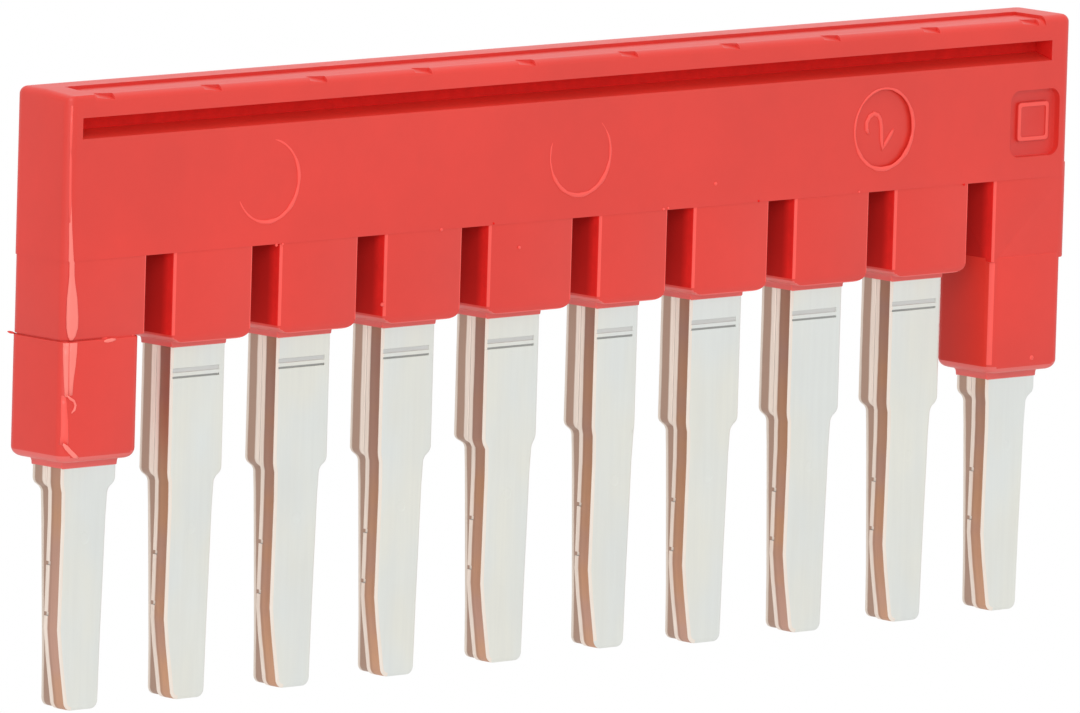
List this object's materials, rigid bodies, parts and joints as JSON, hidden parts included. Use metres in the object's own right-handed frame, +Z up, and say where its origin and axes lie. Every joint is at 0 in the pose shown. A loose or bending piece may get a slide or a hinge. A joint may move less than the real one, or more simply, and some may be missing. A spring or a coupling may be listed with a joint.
{
  "type": "terminal block jumper bar",
  "caption": "Red insulated plug-in jumper bar that bridges a row of terminal blocks, with paired tin-plated copper blades and longer sleeves at both ends.",
  "frame": {"origin": "middle of the plane where the undersides of the inner blocks' collars sit on the terminals, at half the bar's depth", "axes": "+Z up out of the terminals, blades down; +X along the bar towards the end with the square recess; -Y the front with the long groove"},
  "size_m": [0.0508, 0.003, 0.0228],
  "materials": {
    "housing_plastic": "moulded red plastic with a slight sheen",
    "plated_copper": "tin-plated copper sheet with bare stamped edges"
  },
  "bodies": {
    "root": {"housing": "housing_plastic", "front_comb": "plated_copper", "rear_comb": "plated_copper"}
  },
  "joints": []
}
